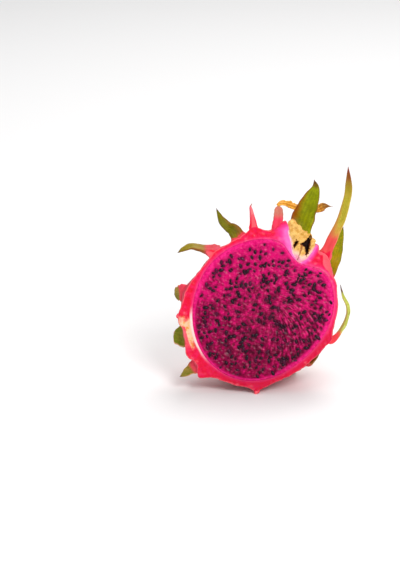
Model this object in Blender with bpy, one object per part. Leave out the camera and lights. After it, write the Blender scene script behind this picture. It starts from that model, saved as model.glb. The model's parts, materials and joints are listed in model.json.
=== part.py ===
"""Half of a ripe red dragon fruit, cut from stem to flower end.

It stands on three of its own scales, and the cut face leans back a little. Lengths are in
millimetres in the fruit's own frame: x runs to the right across the cut face, y up the cut face
and z out of it, from the middle of the flesh. An empty turns that frame upright.
"""

import math
from dataclasses import dataclass

import bmesh
import bpy
from mathutils import Matrix, Vector, geometry

MM = 0.001
GAP = 0.3  # left between pieces that touch

FACE_LEAN = math.radians(16)  # how far the cut face leans back
STANDING_HEIGHT = 51.5  # from the floor to the middle of the flesh
DOWN = Vector((0, -math.cos(FACE_LEAN), -math.sin(FACE_LEAN)))
OUT_OF_FACE = Vector((0, 0, 1))

# Outlines at the cut face: a mean radius and waves of (crests, height, angle of the first crest).
RIND_RADIUS = 48.3
RIND_WAVES = ((1, 1.5, 190), (2, 3.2, 43), (3, 0.65, -30))
RIND_DEPTH = 45.5
FLESH_RADIUS = 44.1
FLESH_WAVES = ((1, 0.5, 177), (2, 2.3, 45), (3, 0.95, 9))
FLESH_DEPTH = 42.0
# The flesh draws back under the flower scar: an angle, a depth, and widths round the rim and backwards.
NOTCH_TURN, NOTCH_DEPTH = math.radians(53), 8.6
NOTCH_WIDTH, NOTCH_REACH, NOTCH_SHAPE = math.radians(17), math.radians(17), 2.4
BALL_SEGMENTS, BALL_RINGS = 72, 32
CAVITY_RINGS = 31  # odd, so that no ring of the cavity lies in the cut face

# The rind is drawn out under each scale, to this height over this many degrees.
SWELL_HEIGHT, SWELL_SPREAD = 2.6, 3.6
# Other bulges and dips of the cut edge: angle round the rim, height, and spread in degrees.
LOBES = ((49, 3.2, 3.5), (75.4, 7.6, 4.4), (227, 5.6, 4.6), (212, 2.2, 6), (197, -1.2, 8))

# Direction of the flower end, which the scales lean towards.
FLOWER_END = Vector((math.cos(math.radians(50)), math.sin(math.radians(50)), 0))

# Scales: cross-sections are lenses along a smooth line.
STATIONS, SECTION_POINTS = 9, 8
ROOT_SUNK = 4.0  # how deep a scale's line starts in the rind
FLARE, FLARE_REACH = 0.35, 0.12  # extra width at the root, fading over this share of the length
TIP_WIDTH, TIP_THICKNESS = 1.2, 0.8
CUPPING = 0.08  # how far the edges curl, as a share of the width

SCAR_DEPTH = 9.0
SCAR_TAPER = 0.6
PETAL_THICKNESS = 2.2


@dataclass
class Scale:
    """A leafy scale: where it grows, the line of its middle after the root, and its size."""

    name: str
    turn: float  # degrees round the rim, anticlockwise from x
    back: float  # degrees behind the cut face
    line: tuple
    width: float
    thickness: float = 3.0
    fullness: float = 2.5  # high for a strap, low for a spearhead
    faces: tuple = None  # direction of its broad side; if not given, its width runs round the fruit
    colour: str = "scale_green"
    swell: float = SWELL_HEIGHT
    spread: float = SWELL_SPREAD
    on_floor: bool = False
    flare: float = FLARE


def direction(turn, back):
    """The unit vector at an angle round the rim and an angle behind the cut face."""
    a, b = math.radians(turn), math.radians(back)
    return Vector((math.cos(b) * math.cos(a), math.cos(b) * math.sin(a), -math.sin(b)))


def floor_point(right, behind):
    """The point on the floor this far to the right of the middle of the flesh and behind it."""
    level_back = Vector((0, math.sin(FACE_LEAN), -math.cos(FACE_LEAN)))
    return Vector((right, 0, 0)) + level_back * behind + DOWN * STANDING_HEIGHT


def leaning_line(turn, back, length):
    """A line that leaves the rind, runs towards the flower end and curls outwards."""
    out = direction(turn, back)
    along = (FLOWER_END - out * FLOWER_END.dot(out)).normalized()
    root = out * RIND_DEPTH
    return tuple(root + (along * a + out * b) * length for a, b in ((0.4, 0.3), (0.75, 0.65), (0.9, 1.0)))


def foot_line(turn, back, right, behind):
    """A short line from the rind down to the floor."""
    root, tip = direction(turn, back) * RIND_DEPTH, floor_point(right, behind) + DOWN
    return (root.lerp(tip, 0.5) - DOWN, tip)


EDGE_SCALES = (
    Scale("upper_left_scale", 129, 6, ((-42.2, 38.4, -6), (-48.4, 37.5, -6), (-53.1, 35, -5)), 9, 4,
          faces=(0.5, 0.75, 0.45), swell=3.2),
    Scale("left_crown_scale", 108, 12,
          ((-17.8, 48.8, -8), (-21.6, 51.2, -9), (-25.6, 55.6, -9), (-28.8, 62.8, -8)), 8, 3.2, 2.2,
          faces=(0.3, 0.1, 1), swell=1.4),
    Scale("crown_spike", 96.5, 0,
          ((-6, 54.3, -1), (-6.9, 60.2, -2), (-7.6, 63.8, -2), (-6.5, 65.8, -2)), 7, 4.6, 1,
          colour="scale_pink", swell=3.6, spread=3.8, flare=0.15),
    Scale("crown_stub", 79.5, 3, ((10, 58.1, -3), (10, 64.6, -3)), 5.8, 3.6, 12, faces=(0, 0, 1),
          colour="scale_pink", swell=3.5, spread=2.5, flare=0.2),
    Scale("crown_leaf", 60, 16,
          ((23.6, 49.2, -13), (26.3, 58, -12.5), (29.9, 66.8, -11), (33.3, 75.4, -9), (32.6, 80.8, -8)),
          14.2, 3, 3, faces=(0, 0, 1), flare=0.1),
    Scale("tall_crown_leaf", 39, 3,
          ((44.7, 45.6, -3), (49.1, 55, -4), (52.2, 65, -5), (54.1, 74.4, -6), (53.9, 89, -8)), 6, 4, 5,
          faces=(-0.3, 0, 1), swell=3.4, spread=4.4),
    Scale("right_crown_leaf", 24, 20, ((42.6, 24, -12), (45.7, 32, -11.5), (47.8, 40, -11), (51, 51.2, -10)),
          9, 2.8, 3, faces=(0.2, 0, 1), swell=0.8, flare=0.0),
    Scale("right_side_scale", -25.5, 2,
          ((47.6, -15.6, -3), (50.3, -11.4, -3), (52.4, -7, -3), (53.5, -2, -3), (52.8, 3, -4),
           (50.3, 8.6, -4), (48.8, 15, -4)), 3.8, 2.4, 5, faces=(0.75, 0, 0.66), swell=2.2),
    Scale("lower_right_scale", -52, 12, ((30.6, -34.4, -8), (36.6, -27.4, -5)), 4, 2.2, swell=1.4),
    Scale("bottom_spike", 266.5, 0, ((-3.4, -50.8, -1.2), (-5.1, -54.8, -1.6)), 4.8, 4.4, 1.6,
          colour="scale_pink", swell=3, spread=3.6, on_floor=True, flare=0.0),
    Scale("lower_left_scale", 222, 6, ((-44.5, -38.1, -5), (-48.4, -40.7, -4), (-51.8, -42.7, -4)), 7,
          3.2, faces=(-0.2, 0.3, 0.9), swell=2.4),
    Scale("stem_leaf", 200, 14, ((-51, -16.8, -13), (-55.6, -15.4, -14)), 12, 3.2, 6,
          faces=(-0.3, 0, 1), swell=0.6),
    Scale("stem_bump", 185, 1, ((-51.6, -4.6, -1.6), (-53.8, -5, -2)), 6, 3, 5,
          colour="scale_pink", swell=2.4, spread=6, flare=0.2),
    Scale("left_side_scale", 169, 10, ((-50.6, 9.6, -9), (-55.2, 8.6, -12)), 8, 3, 5, faces=(-0.4, 0, 0.9),
          colour="scale_pink", swell=3.4, spread=6),
)
FOOT_SCALES = (
    Scale("foot_scale_left", 247, 38, foot_line(247, 38, -21, 30), 12, 4.5, 4, on_floor=True),
    Scale("foot_scale_right", 293, 38, foot_line(293, 38, 21, 30), 12, 4.5, 4, on_floor=True),
)
# Round the back: angle round the rim, angle behind the cut face, length.
BACK_PLACES = (
    (48, 44, 14), (2, 44, 13), (100, 46, 12), (55, 76, 22),
    (196, 46, 16), (150, 40, 15), (235, 72, 17), (328, 48, 18),
)
BACK_SCALES = tuple(
    Scale(f"back_scale_{number}", turn, back, leaning_line(turn, back, length), 12, 3.4, 3)
    for number, (turn, back, length) in enumerate(BACK_PLACES, 1)
)
SCALES = EDGE_SCALES + FOOT_SCALES + BACK_SCALES

# The dry plug where the flower fell off, as it shows in the cut face, anticlockwise.
SCAR_OUTLINE = (
    (22.6, 28.8), (27.4, 31.5), (30.4, 35.4), (33.6, 41.4), (30.6, 46.0), (25.6, 49.2),
    (19.1, 56.6), (15.8, 55.1), (16.8, 47.3), (18.4, 41.4), (19.1, 35.4),
)
# A withered petal, hanging from the stub over to the right behind the crown leaf.
PETAL_LINE = (
    (9.7, 65.9, -3), (13.2, 66, -5), (18.4, 64.8, -11), (26, 62.8, -17), (35, 62.2, -17), (44.3, 63.9, -15),
)

COLOURS = {  # base colour and roughness
    "rind": ((0.80, 0.035, 0.09), 0.45),
    "flesh": ((0.36, 0.006, 0.09), 0.35),
    "flower_scar": ((0.93, 0.62, 0.24), 0.7),
    "dried_petal": ((0.48, 0.15, 0.012), 0.8),
    "scale_green": ((0.26, 0.32, 0.02), 0.45),
    "scale_pink": ((0.82, 0.06, 0.12), 0.45),
}


def wavy_radius(mean, waves, angle):
    """The mean radius plus each wave's height at this angle."""
    return mean + sum(h * math.cos(n * (angle - math.radians(crest))) for n, h, crest in waves)


def dome_radius(way, mean, waves, depth):
    """The wavy outline at the cut face, rounded off like an ellipse to the depth behind it."""
    outline = wavy_radius(mean, waves, math.atan2(way.y, way.x))
    return 1 / math.hypot(math.hypot(way.x, way.y) / outline, way.z / depth)


def rind_radius(way):
    """The rind's outside, drawn out to a soft point under each scale and rounded at the lobes."""
    swell = 0.0
    for scale in SCALES:
        apart = math.degrees(way.angle(direction(scale.turn, scale.back))) / scale.spread
        swell = max(swell, scale.swell * math.exp(1 - math.hypot(apart, 1)))
    for turn, height, spread in LOBES:
        apart = math.degrees(way.angle(direction(turn, 0))) / spread
        bulge = height * math.exp(-(apart**2))
        swell = max(swell, bulge) if height > 0 else swell + bulge
    return dome_radius(way, RIND_RADIUS, RIND_WAVES, RIND_DEPTH) + swell


def flesh_radius(way):
    """The flesh's outside, with a notch in its front edge under the flower scar."""
    apart = Vector((way.x, way.y)).angle(Vector((math.cos(NOTCH_TURN), math.sin(NOTCH_TURN))), 0.0)
    notch = NOTCH_DEPTH * math.exp(-((apart / NOTCH_WIDTH) ** NOTCH_SHAPE))
    notch *= math.exp(-((math.asin(way.z) / NOTCH_REACH) ** 2))
    return dome_radius(way, FLESH_RADIUS, FLESH_WAVES, FLESH_DEPTH) - notch


def ball(radius_of, grow=0.0, rings=BALL_RINGS):
    """A round body whose surface lies radius_of(way) + grow from the middle."""
    shape = bmesh.new()
    bmesh.ops.create_uvsphere(shape, u_segments=BALL_SEGMENTS, v_segments=rings, radius=1)
    for vert in shape.verts:
        way = vert.co.normalized()
        vert.co = way * (radius_of(way) + grow)
    # Split the same way every time, so that a cutter keeps its distance from the body it follows.
    bmesh.ops.triangulate(shape, faces=shape.faces[:], quad_method="FIXED")
    return shape


def trim(shape, point, normal):
    """Takes off what lies beyond a plane and closes the cut."""
    everything = shape.verts[:] + shape.edges[:] + shape.faces[:]
    bmesh.ops.bisect_plane(shape, geom=everything, dist=1e-4, plane_co=point, plane_no=normal,
                           clear_outer=True)
    open_edges = [edge for edge in shape.edges if edge.is_boundary]
    bmesh.ops.holes_fill(shape, edges=open_edges)


def smooth_line(points, samples):
    """Evenly numbered points on a smooth curve through the given ones."""
    points = [Vector(p) for p in points]
    ends = [2 * points[0] - points[1], *points, 2 * points[-1] - points[-2]]
    line = []
    for i in range(samples):
        place = i / (samples - 1) * (len(points) - 1)
        k = min(int(place), len(points) - 2)
        start, stop = ends[k + 1], ends[k + 2]
        pull_start, pull_stop = (stop - ends[k]) / 6, (ends[k + 3] - start) / 6
        curve = geometry.interpolate_bezier(start, start + pull_start, stop - pull_stop, stop, 101)
        line.append(curve[round((place - k) * 100)])
    return line


def scale_shape(scale):
    """Lens-shaped sections along the scale's line, bridged and closed at both ends."""
    out = direction(scale.turn, scale.back)
    root = out * (rind_radius(out) - ROOT_SUNK)
    line = smooth_line((root, *scale.line), STATIONS)
    shape = bmesh.new()
    rings = []
    for i, middle in enumerate(line):
        t = i / (STATIONS - 1)
        ahead = (line[min(i + 1, STATIONS - 1)] - line[max(i - 1, 0)]).normalized()
        across = ahead.cross(Vector(scale.faces)) if scale.faces else out.cross(FLOWER_END)
        across = (across - ahead * across.dot(ahead)).normalized()
        up = across.cross(ahead)
        flare = 1 + scale.flare * math.exp(-t / FLARE_REACH)
        width = max(scale.width * flare * (1 - t**scale.fullness), TIP_WIDTH)
        thickness = max(scale.thickness * flare * (1 - 0.7 * t), TIP_THICKNESS)
        verts = []
        for k in range(SECTION_POINTS):
            turn = math.tau * k / SECTION_POINTS
            curl = CUPPING * width * math.cos(turn) ** 2
            offset = across * math.cos(turn) * width / 2 + up * (math.sin(turn) * thickness / 2 + curl)
            verts.append(shape.verts.new(middle + offset))
        rings.append([shape.edges.new((verts[k - 1], verts[k])) for k in range(SECTION_POINTS)])
    for near, far in zip(rings, rings[1:]):
        bmesh.ops.bridge_loops(shape, edges=near + far)
    for ring in (rings[0], rings[-1]):
        bmesh.ops.edgenet_fill(shape, edges=ring)
    bmesh.ops.recalc_face_normals(shape, faces=shape.faces)
    trim(shape, (0, 0, 0), OUT_OF_FACE)
    if scale.on_floor:
        trim(shape, DOWN * STANDING_HEIGHT, DOWN)
    return shape


def scar_shape(grow=0.0, front=0.0):
    """The flower scar's outline, drawn back into the fruit and narrowing evenly on the way."""
    outline = [Vector(corner) for corner in SCAR_OUTLINE]
    middle = sum(outline, Vector((0, 0))) / len(outline)
    shape = bmesh.new()
    rings = []
    for z in (front, -SCAR_DEPTH - grow):
        narrowing = 1 + (1 - SCAR_TAPER) * z / SCAR_DEPTH
        corners = []
        for before, here, after in zip(outline[-1:] + outline, outline, outline[1:] + outline[:1]):
            run = (after - before).normalized()
            corner = middle + (here - middle) * narrowing + Vector((run.y, -run.x)) * grow
            corners.append(shape.verts.new((*corner, z)))
        shape.faces.new(corners)
        rings.append([shape.edges.get((corners[k - 1], corners[k])) for k in range(len(corners))])
    bmesh.ops.bridge_loops(shape, edges=rings[0] + rings[1])
    return shape


def material(name):
    """A plain material of one of the listed colours."""
    made = bpy.data.materials.get(name) or bpy.data.materials.new(name)
    made.use_nodes = True
    shader = made.node_tree.nodes["Principled BSDF"]
    colour, roughness = COLOURS[name]
    shader.inputs["Base Color"].default_value = (*colour, 1)
    shader.inputs["Roughness"].default_value = roughness
    return made


def add_object(name, shape, fruit):
    """Turns a shape in millimetres into an object that belongs to the fruit."""
    bmesh.ops.recalc_face_normals(shape, faces=shape.faces)
    shape.transform(Matrix.Scale(MM, 4))
    mesh = bpy.data.meshes.new(name)
    shape.to_mesh(mesh)
    shape.free()
    made = bpy.data.objects.new(name, mesh)
    made.parent = fruit
    bpy.context.scene.collection.objects.link(made)
    return made


def add_piece(name, shape, colour, fruit, cutters=()):
    """A visible piece, smooth shaded, with each cutter taken out of it."""
    made = add_object(name, shape, fruit)
    made.data.shade_smooth()
    made.data.set_sharp_from_angle(angle=math.radians(40))
    made.data.materials.append(material(colour))
    for cutter in cutters:
        cut = made.modifiers.new(cutter.name, "BOOLEAN")
        cut.operation = "DIFFERENCE"
        cut.solver = "EXACT"
        cut.object = cutter
    return made


def add_cutter(name, shape, fruit):
    """A body that only takes material away."""
    made = add_object(name, shape, fruit)
    made.hide_render = True
    made.display_type = "WIRE"
    return made


def add_dried_petal(fruit):
    """A thin rod along the withered petal, with closed ends."""
    curve = bpy.data.curves.new("dried_petal", "CURVE")
    curve.dimensions = "3D"
    curve.bevel_depth = PETAL_THICKNESS / 2 * MM
    curve.bevel_resolution = 1
    curve.use_fill_caps = True
    points = smooth_line(PETAL_LINE, 14)
    spline = curve.splines.new("POLY")
    spline.points.add(len(points) - 1)
    for point, place in zip(spline.points, points):
        point.co = (*(place * MM), 1)
    curve.materials.append(material("dried_petal"))
    made = bpy.data.objects.new("dried_petal", curve)
    made.parent = fruit
    bpy.context.scene.collection.objects.link(made)
    return made


def stand_upright(fruit, pieces):
    """Puts the middle of the pieces' common box above the origin, with its floor at zero."""
    bpy.context.view_layer.update()
    graph = bpy.context.evaluated_depsgraph_get()
    places = []
    for made in pieces:
        shape = made.evaluated_get(graph).to_mesh()
        places += [made.matrix_world @ vert.co for vert in shape.vertices]
    for axis in (0, 1):
        values = [place[axis] for place in places]
        fruit.location[axis] -= (min(values) + max(values)) / 2
    fruit.location.z -= min(place.z for place in places)


def main():
    """Builds the half fruit."""
    for old in list(bpy.data.objects):
        bpy.data.objects.remove(old)

    fruit = bpy.data.objects.new("half_fruit", None)
    fruit.rotation_euler = (math.pi / 2 - FACE_LEAN, 0, 0)
    bpy.context.scene.collection.objects.link(fruit)

    outside = add_cutter("outside_cutter", ball(rind_radius, GAP), fruit)
    cavity = add_cutter("cavity_cutter", ball(flesh_radius, GAP, CAVITY_RINGS), fruit)
    scar_pocket = add_cutter("scar_cutter", scar_shape(GAP, front=2.0), fruit)

    pieces = []
    rind = ball(rind_radius)
    trim(rind, (0, 0, 0), OUT_OF_FACE)
    pieces.append(add_piece("rind", rind, "rind", fruit, (cavity, scar_pocket)))
    flesh = ball(flesh_radius)
    trim(flesh, (0, 0, 0), OUT_OF_FACE)
    pieces.append(add_piece("flesh", flesh, "flesh", fruit, (scar_pocket,)))
    pieces.append(add_piece("flower_scar", scar_shape(), "flower_scar", fruit))
    for scale in SCALES:
        cutters = (outside, scar_pocket) if scale.name.startswith("crown") else (outside,)
        pieces.append(add_piece(scale.name, scale_shape(scale), scale.colour, fruit, cutters))
    pieces.append(add_dried_petal(fruit))
    stand_upright(fruit, pieces)


main()
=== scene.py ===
"""Half of a ripe red dragon fruit, standing on its own scales with the cut face to the front.

Shapes are worked out in the fruit's own frame, in millimetres: x to the right across the cut face,
y up the cut face and z out of it, from the middle of the flesh. FruitFrame turns them into metres.
"""

import json
import logging
import math
from dataclasses import dataclass, field
from enum import Enum
from typing import Any

import bpy
import numpy as np
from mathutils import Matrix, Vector


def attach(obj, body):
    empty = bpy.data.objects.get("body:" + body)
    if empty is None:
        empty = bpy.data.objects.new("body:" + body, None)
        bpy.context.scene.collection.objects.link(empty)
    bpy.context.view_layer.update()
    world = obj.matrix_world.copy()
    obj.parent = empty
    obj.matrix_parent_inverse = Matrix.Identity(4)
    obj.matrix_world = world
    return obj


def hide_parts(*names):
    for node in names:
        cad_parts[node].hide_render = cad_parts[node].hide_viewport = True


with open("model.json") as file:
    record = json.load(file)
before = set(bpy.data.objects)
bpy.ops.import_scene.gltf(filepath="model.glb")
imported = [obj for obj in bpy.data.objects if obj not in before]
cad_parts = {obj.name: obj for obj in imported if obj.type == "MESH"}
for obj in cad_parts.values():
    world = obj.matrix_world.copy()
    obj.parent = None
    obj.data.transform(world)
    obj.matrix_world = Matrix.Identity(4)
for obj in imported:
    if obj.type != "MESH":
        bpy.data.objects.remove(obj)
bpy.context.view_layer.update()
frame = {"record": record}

logging.basicConfig(level=logging.INFO, format="%(message)s")
LOG = logging.getLogger("dragon_fruit")

MM = 0.001
BODY = "root"


# ---------------------------------------------------------------- frame and mesh helpers


@dataclass(frozen=True)
class FruitFrame:
    """The fruit's own frame in the room: the middle of the cut face and its three directions."""

    centre: np.ndarray
    right: np.ndarray
    up: np.ndarray
    out: np.ndarray

    @classmethod
    def from_record(cls, record: dict[str, Any]) -> "FruitFrame":
        """Reads the cut face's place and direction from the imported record.

        Args:
            record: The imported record.

        Returns:
            The frame whose z looks out of the cut face.
        """
        face = next(mount for mount in record["mounts"] if mount["name"] == "cut_face")
        out = np.array(face["axis"], float)
        out /= np.linalg.norm(out)
        right = np.array([1.0, 0.0, 0.0])
        return cls(np.array(face["pos_m"], float), right, np.cross(out, right), out)

    def place(self, points: np.ndarray) -> np.ndarray:
        """Turns millimetres in the fruit's frame into metres in the room."""
        axes = np.stack([self.right, self.up, self.out])
        return self.centre + points @ axes * MM

    @property
    def down(self) -> np.ndarray:
        """The way down, in the fruit's frame."""
        return -np.array([self.right[2], self.up[2], self.out[2]])

    @property
    def height(self) -> float:
        """Height of the middle of the cut face above the floor, in millimetres."""
        return float(self.centre[2] / MM)


FRUIT = FruitFrame.from_record(frame["record"])


def direction(turn: np.ndarray, back: np.ndarray) -> np.ndarray:
    """Unit vectors at angles round the rim and behind the cut face, in radians.

    Args:
        turn: Angles round the rim, in radians.
        back: Angles behind the cut face, in radians.

    Returns:
        The vectors, with x, y and z last.
    """
    turn, back = np.broadcast_arrays(turn, back)
    level = np.cos(back)
    return np.stack([level * np.cos(turn), level * np.sin(turn), -np.sin(back)], axis=-1)


def unit(vector: np.ndarray) -> np.ndarray:
    """Vectors of length one."""
    return vector / np.linalg.norm(vector, axis=-1, keepdims=True)


def smooth_step(value: np.ndarray, low: float, high: float) -> np.ndarray:
    """Zero below low, one above high and an S curve between, also for low above high."""
    t = np.clip((value - low) / (high - low), 0, 1)
    return t * t * (3 - 2 * t)


def bell(value: np.ndarray, spread: Any) -> np.ndarray:
    """One at zero, falling off on both sides as exp(-(value / spread)^2)."""
    return np.exp(-((value / spread) ** 2))


def turns_round(count: int) -> np.ndarray:
    """Angles evenly spaced round a circle, in radians."""
    return np.linspace(0, math.tau, count, endpoint=False)


def circle(turn: np.ndarray) -> np.ndarray:
    """Points of a circle of radius one at the angles, with x and y last."""
    return np.stack([np.cos(turn), np.sin(turn)], axis=-1)


def degrees_from(turn: np.ndarray, place: float) -> np.ndarray:
    """Degrees from a place on the rim, given in degrees, to angles in radians, up to 180 either way."""
    return np.degrees(np.angle(np.exp(1j * (turn - math.radians(place)))))


def ripple(points: np.ndarray, length: float, seed: int, waves: int = 20) -> np.ndarray:
    """A smooth random field of about unit height: a sum of cosines whose directions and phases are random.

    Args:
        points: Places, with the coordinates last.
        length: Mean wavelength, in the units of the points.
        seed: Which field it is.
        waves: How many cosines are summed.

    Returns:
        One value for each place.
    """
    rng = np.random.default_rng(seed)
    pace = unit(rng.normal(size=(waves, points.shape[-1]))) * rng.uniform(0.6, 1.5, (waves, 1))
    phase = rng.uniform(0, math.tau, waves)
    total = np.zeros(points.shape[:-1])
    for turn, start in zip(pace * math.tau / length, phase):
        total += np.cos(points @ turn + start)
    return total * math.sqrt(2 / waves)


def smooth_line(points: np.ndarray, samples: int) -> np.ndarray:
    """Evenly spaced points on a Catmull-Rom curve: between two given points it is a cubic whose slopes
    are half the step from the point before to the point after.

    Args:
        points: The points that the curve goes through, one a row.
        samples: How many points to return.

    Returns:
        The samples, evenly spaced along the curve.
    """
    padded = np.vstack([2 * points[0] - points[1], points, 2 * points[-1] - points[-2]])
    place = np.linspace(0, len(points) - 1, samples * 4)
    k = np.minimum(place.astype(int), len(points) - 2)
    t = (place - k)[:, None]
    before, start, stop, after = (padded[k + i] for i in range(4))
    curve = start + 0.5 * t * (
        stop - before
        + t * (2 * before - 5 * start + 4 * stop - after + t * (3 * (start - stop) + after - before))
    )
    run = np.concatenate([[0], np.cumsum(np.linalg.norm(np.diff(curve, axis=0), axis=1))])
    even = np.linspace(0, run[-1], samples)
    return np.stack([np.interp(even, run, curve[:, axis]) for axis in range(3)], axis=1)


def carried(line: np.ndarray, across: np.ndarray, up: np.ndarray, aside: np.ndarray,
            above: np.ndarray) -> np.ndarray:
    """Carries a section along a line: a point is the line's own plus a distance across and one upwards.

    Args:
        line: Points on the line.
        across: Unit vectors across the line at its points.
        up: Unit vectors upwards at its points.
        aside: Distances across, as stations by points round the section.
        above: Distances upwards, in the same way.

    Returns:
        Rings of points.
    """
    return line[:, None] + across[:, None] * aside[..., None] + up[:, None] * above[..., None]


def outline_distance(places: np.ndarray, corners: tuple) -> np.ndarray:
    """Distance from a closed outline in the cut face, less than zero inside it.

    Args:
        places: Places, with x and y first among the last coordinates.
        corners: The outline's corners, as pairs of x and y.

    Returns:
        The nearest of the distances to the outline's sides, negative where an odd number of sides
        lies to the right.
    """
    x, y = places[..., 0], places[..., 1]
    nearest = np.full(x.shape, np.inf)
    inside = np.zeros(x.shape, bool)
    for (ax, ay), (bx, by) in zip(corners, corners[1:] + corners[:1]):
        run_x, run_y = bx - ax, by - ay
        t = np.clip(((x - ax) * run_x + (y - ay) * run_y) / (run_x**2 + run_y**2), 0, 1)
        nearest = np.minimum(nearest, np.hypot(x - ax - t * run_x, y - ay - t * run_y))
        inside ^= ((ay > y) != (by > y)) & (x < ax + (y - ay) * run_x / (run_y or 1))
    return np.where(inside, -nearest, nearest)


def ring_faces(rows: int, columns: int) -> tuple[np.ndarray, np.ndarray]:
    """Faces of a closed skin of rings, each of the same number of points, with a fan on a pole at each end.

    Args:
        rows: Number of rings.
        columns: Points in a ring.

    Returns:
        The quads and the triangles, where the poles are the two points after the rings.
    """
    here = np.arange(rows * columns).reshape(rows, columns)
    after = np.roll(here, -1, axis=1)
    quads = np.stack([here[:-1], after[:-1], after[1:], here[1:]], axis=-1).reshape(-1, 4)
    first, last = rows * columns, rows * columns + 1
    start = np.stack([np.full(columns, first), after[0], here[0]], axis=-1)
    stop = np.stack([np.full(columns, last), here[-1], after[-1]], axis=-1)
    return quads, np.concatenate([start, stop])


def write_mesh(name: str, points: np.ndarray, quads: np.ndarray, triangles: np.ndarray,
               fields: dict[str, np.ndarray]) -> bpy.types.Object:
    """Puts points, faces and one number per point for each field into a smooth-shaded object.

    Args:
        name: The object's name.
        points: Places in the room, in metres.
        quads: Four-cornered faces.
        triangles: Three-cornered faces.
        fields: Values at the points, by attribute name.

    Returns:
        The object, which rides on the fruit.
    """
    mesh = bpy.data.meshes.new(name)
    mesh.vertices.add(len(points))
    mesh.vertices.foreach_set("co", points.astype(np.float32).ravel())
    corners = np.concatenate([quads.ravel(), triangles.ravel()])
    starts = np.concatenate([np.arange(len(quads)) * 4, quads.size + np.arange(len(triangles)) * 3])
    mesh.loops.add(len(corners))
    mesh.loops.foreach_set("vertex_index", corners.astype(np.int32))
    mesh.polygons.add(len(starts))
    mesh.polygons.foreach_set("loop_start", starts.astype(np.int32))
    mesh.update(calc_edges=True)
    mesh.shade_smooth()
    for field_name, values in fields.items():
        layer = mesh.attributes.new(field_name, "FLOAT", "POINT")
        layer.data.foreach_set("value", values.astype(np.float32).ravel())
    made = bpy.data.objects.new(name, mesh)
    bpy.context.scene.collection.objects.link(made)
    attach(made, BODY)
    LOG.info("%s: %d points, %d faces", name, len(points), len(starts))
    return made


def closed_skin(name: str, rings: np.ndarray, fields: dict[str, np.ndarray]) -> bpy.types.Object:
    """Makes an object from rings of points, with a pole at the middle of the first and the last ring.

    Args:
        name: The object's name.
        rings: Rings by points by coordinates, in millimetres in the fruit's frame.
        fields: Values at the rings' points, by attribute name.

    Returns:
        The object.
    """
    rows, columns = rings.shape[:2]
    poles = np.stack([rings[0].mean(axis=0), rings[-1].mean(axis=0)])
    points = np.concatenate([rings.reshape(-1, 3), poles])
    quads, triangles = ring_faces(rows, columns)
    whole = {key: np.concatenate([value.ravel(), [value[0].mean(), value[-1].mean()]])
             for key, value in fields.items()}
    return write_mesh(name, FRUIT.place(points), quads, triangles, whole)


# ---------------------------------------------------------------- shader helpers


def tint(red: float, green: float, blue: float) -> tuple[float, float, float, float]:
    """A colour for a shader from screen values of 0 to 255.

    Args:
        red: Its red part.
        green: Its green part.
        blue: Its blue part.

    Returns:
        The colour as the shader takes it, opaque.
    """
    def straight(part: float) -> float:
        """Undoes the screen's curve for one part of the colour."""
        part /= 255
        return part / 12.92 if part <= 0.04045 else ((part + 0.055) / 1.055) ** 2.4
    return straight(red), straight(green), straight(blue), 1.0


class Value:
    """A number that varies over a surface. Arithmetic on it adds Math nodes."""

    def __init__(self, graph: "Graph", socket: bpy.types.NodeSocket) -> None:
        """Wraps an output socket."""
        self.graph = graph
        self.socket = socket

    def __add__(self, other: Any) -> "Value":
        """Adds."""
        return self.graph.maths("ADD", self, other)

    def __sub__(self, other: Any) -> "Value":
        """Subtracts."""
        return self.graph.maths("SUBTRACT", self, other)

    def __mul__(self, other: Any) -> "Value":
        """Multiplies."""
        return self.graph.maths("MULTIPLY", self, other)

    __radd__ = __add__
    __rmul__ = __mul__


class Nodes:
    """A node tree whose nodes are all added by one method."""

    def __init__(self, tree: bpy.types.NodeTree) -> None:
        """Takes the tree to add to."""
        self.tree = tree

    def node(self, kind: str, settings: dict[str, Any] | None = None,
             inputs: dict[Any, Any] | None = None) -> bpy.types.Node:
        """Adds a node.

        Args:
            kind: The node's type.
            settings: Its own properties, set first.
            inputs: A number, a colour or an output for each input, by name or by index.

        Returns:
            The node.
        """
        made = self.tree.nodes.new(kind)
        for key, value in (settings or {}).items():
            setattr(made, key, value)
        for key, value in (inputs or {}).items():
            self.feed(made.inputs[key], value)
        return made

    def feed(self, socket: bpy.types.NodeSocket, value: Any) -> None:
        """Links an output or a Value to a socket, or sets the socket to a number or a colour.

        Args:
            socket: The input.
            value: What it gets.
        """
        if isinstance(value, Value):
            value = value.socket
        if isinstance(value, bpy.types.NodeSocket):
            self.tree.links.new(value, socket)
        else:
            socket.default_value = value


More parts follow.
